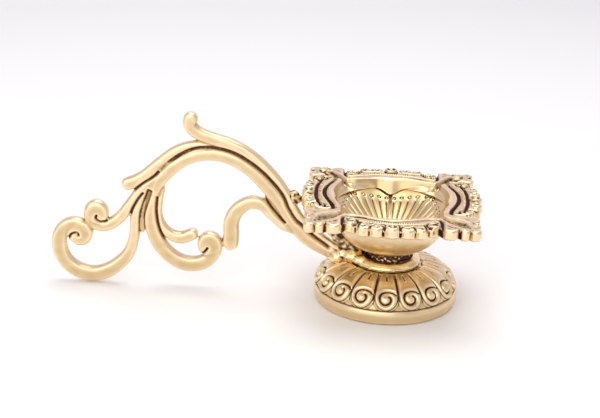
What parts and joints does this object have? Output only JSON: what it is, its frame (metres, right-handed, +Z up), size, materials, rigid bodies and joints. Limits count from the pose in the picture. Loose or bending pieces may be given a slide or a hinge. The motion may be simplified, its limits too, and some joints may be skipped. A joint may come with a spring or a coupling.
{
  "type": "handled oil lamp",
  "caption": "Cast brass hand oil lamp: square scroll-rimmed bowl with wick channels at the corners, on a domed petalled foot, with a flat openwork scroll handle.",
  "frame": {"origin": "middle of the bounding box in plan, at the table, so the rest face is Z = 0", "axes": "+X along the lamp from the handle's loop to the bowl, +Z up through the bowl's axis, +Y completes the right hand"},
  "size_m": [0.1804, 0.0764, 0.0771],
  "materials": {
    "foot_brass": "cast, chased, antiqued in the grooves",
    "ring_brass": "turned and polished",
    "handle_brass": "cast, satin, antiqued in the crevices",
    "bowl_brass": "cast, satin, brighter inside",
    "fastener_brass": "turned, dulled",
    "braze_brass": "brazed, left rough"
  },
  "bodies": {
    "root": {"foot": "foot_brass", "neck_ring": "ring_brass", "handle": "handle_brass", "bowl": "bowl_brass", "clamp_stud": "fastener_brass", "washer": "fastener_brass", "hex_nut": "fastener_brass", "braze_lug": "braze_brass"}
  },
  "joints": []
}
